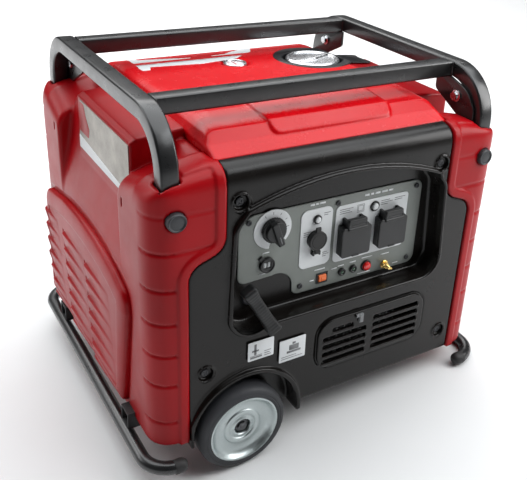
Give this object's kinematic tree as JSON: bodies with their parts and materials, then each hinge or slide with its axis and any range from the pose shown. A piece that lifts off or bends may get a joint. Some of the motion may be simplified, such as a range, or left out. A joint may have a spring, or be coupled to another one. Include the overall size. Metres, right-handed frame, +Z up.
{
  "type": "portable generator",
  "caption": "Closed-body portable inverter generator with louvred shells, recessed control panel, tube carrying frame, skids and transport wheels.",
  "frame": {"origin": "on the floor, below the centre of the bounding box", "axes": "+X to the right seen from the control panel, -Y towards the control panel, +Z up; the body leans about 4 degrees because the wheels reach lower than the skids"},
  "size_m": [0.6949, 0.601, 0.6142],
  "materials": {
    "tray_steel": "satin",
    "frame_paint": "semi gloss",
    "black_rubber": "matt",
    "zinc_bolts": "zinc plated",
    "steel": "bright",
    "tyre_rubber": "matt",
    "zinc_rim": "zinc plated, passivated",
    "side_red": "satin moulded",
    "plug_black": "satin",
    "fascia_black": "fine satin grain",
    "top_red": "gloss",
    "dish_black": "satin",
    "cap_chrome": "bright",
    "plate_grey": "painted grey satin",
    "insert_white": "printed",
    "switch_black": "satin",
    "rocker_orange": "gloss",
    "button_red": "gloss",
    "brass": "bright",
    "grip_black": "satin",
    "rope": "braided",
    "cast_aluminium": "cast",
    "rotor_iron": "machined",
    "copper": "enamelled wire",
    "muffler_steel": "heat darkened",
    "label_silver": "printed foil"
  },
  "bodies": {
    "root": {"base_tray": "tray_steel", "cross_members": "tray_steel", "skid_left": "frame_paint", "skid_right": "frame_paint", "skid_caps": "black_rubber", "hoop_left": "frame_paint", "hoop_right": "frame_paint", "crossbar_front": "frame_paint", "crossbar_rear": "frame_paint", "gusset_bolts": "zinc_bolts", "axle": "steel", "hub_nuts": "zinc_bolts", "side_shell_left": "side_red", "side_shell_right": "side_red", "louver_cover_left": "side_red", "louver_cover_right": "side_red", "corner_plugs": "plug_black", "front_fascia": "fascia_black", "recess_tub": "fascia_black", "front_grille": "fascia_black", "rear_cover": "fascia_black", "top_cover": "top_red", "fuel_dish": "dish_black", "fuel_gauge": "cap_chrome", "fuel_tank": "dish_black", "control_plate": "plate_grey", "panel_inserts": "insert_white", "ac_sockets": "switch_black", "dc_socket": "switch_black", "aux_socket": "switch_black", "pilot_lamps": "switch_black", "earth_stud": "brass", "recoil_housing": "grip_black", "panel_screws": "plug_black", "labels": "label_silver", "engine_block": "cast_aluminium", "engine_mounts": "black_rubber", "stator": "copper", "muffler": "muffler_steel", "air_filter": "grip_black", "inverter_module": "cast_aluminium", "battery": "grip_black"},
    "wheel_front": {"tyre_front": "tyre_rubber", "rim_front": "zinc_rim"},
    "wheel_rear": {"tyre_rear": "tyre_rubber", "rim_rear": "zinc_rim"},
    "engine_switch": {"engine_knob": "switch_black"},
    "lid_left": {"ac_lid_left": "switch_black"},
    "lid_right": {"ac_lid_right": "switch_black"},
    "dc_flap": {"dc_cap": "black_rubber"},
    "eco_switch": {"eco_rocker": "rocker_orange"},
    "dc_trip": {"dc_breaker": "switch_black"},
    "ac_trip": {"ac_breaker": "insert_white"},
    "button": {"push_button": "button_red"},
    "wing_nut": {"earth_nut": "brass"},
    "filler_cap": {"fuel_cap": "cap_chrome"},
    "starter_grip": {"recoil_grip": "grip_black", "recoil_rope": "rope"},
    "starter_pulley": {"recoil_pulley": "cast_aluminium"},
    "crankshaft": {"crank_rotor": "rotor_iron"}
  },
  "joints": [
    {"name": "wheel_front_spin", "type": "hinge", "parent": "root", "child": "wheel_front", "pos_m": [-0.17448, -0.2715, 0.076], "axis": [0, 1, 0], "continuous": true},
    {"name": "wheel_rear_spin", "type": "hinge", "parent": "root", "child": "wheel_rear", "pos_m": [-0.17448, 0.2715, 0.076], "axis": [0, 1, 0], "continuous": true},
    {"name": "engine_switch_turn", "type": "hinge", "parent": "root", "child": "engine_switch", "pos_m": [-0.08727, -0.2532, 0.39637], "axis": [0, 1, 0], "range_deg": [0, 120]},
    {"name": "lid_left_flip", "type": "hinge", "parent": "root", "child": "lid_left", "pos_m": [0.05834, -0.2582, 0.37241], "axis": [-0.9972, 0, 0.0748], "range_deg": [0, 110], "stiffness_Nm_per_rad": 0.02, "springref_deg": -17.19},
    {"name": "lid_right_flip", "type": "hinge", "parent": "root", "child": "lid_right", "pos_m": [0.13213, -0.2582, 0.36688], "axis": [-0.9972, 0, 0.0748], "range_deg": [0, 110], "stiffness_Nm_per_rad": 0.02, "springref_deg": -17.19},
    {"name": "dc_flap_open", "type": "hinge", "parent": "root", "child": "dc_flap", "pos_m": [-0.01376, -0.2507, 0.3337], "axis": [0.9972, 0, -0.0748], "range_deg": [0, 120]},
    {"name": "eco_rock", "type": "hinge", "parent": "root", "child": "eco_switch", "pos_m": [0.00108, -0.238, 0.27743], "axis": [0.9972, 0, -0.0748], "range_deg": [-8, 8]},
    {"name": "dc_trip_press", "type": "slide", "parent": "root", "child": "dc_trip", "axis": [0, 1, 0], "range_m": [0, 0.002], "stiffness_N_per_m": 200},
    {"name": "ac_trip_press", "type": "slide", "parent": "root", "child": "ac_trip", "axis": [0, 1, 0], "range_m": [0, 0.002], "stiffness_N_per_m": 200},
    {"name": "button_press", "type": "slide", "parent": "root", "child": "button", "axis": [0, 1, 0], "range_m": [0, 0.003], "stiffness_N_per_m": 200},
    {"name": "wing_nut_turn", "type": "hinge", "parent": "root", "child": "wing_nut", "pos_m": [0.12862, -0.25, 0.25984], "axis": [0, 1, 0], "range_deg": [0, 360]},
    {"name": "fuel_cap_turn", "type": "hinge", "parent": "root", "child": "filler_cap", "pos_m": [0.18706, 0.077, 0.52421], "axis": [0.0748, 0, 0.9972], "range_deg": [0, 90]},
    {"name": "recoil_pull", "type": "slide", "parent": "root", "child": "starter_grip", "axis": [0, -1, 0], "range_m": [0, 0.4]},
    {"name": "pulley_turn", "type": "hinge", "parent": "root", "child": "starter_pulley", "pos_m": [-0.13636, 0, 0.2366], "axis": [0.9972, 0, -0.0748], "range_deg": [0, 460]},
    {"name": "crank_turn", "type": "hinge", "parent": "root", "child": "crankshaft", "pos_m": [-0.04562, 0, 0.22979], "axis": [0.9972, 0, -0.0748], "continuous": true}
  ],
  "couplings": [
    {"joint": "pulley_turn", "follows": "recoil_pull", "rad_per_m": 20}
  ]
}
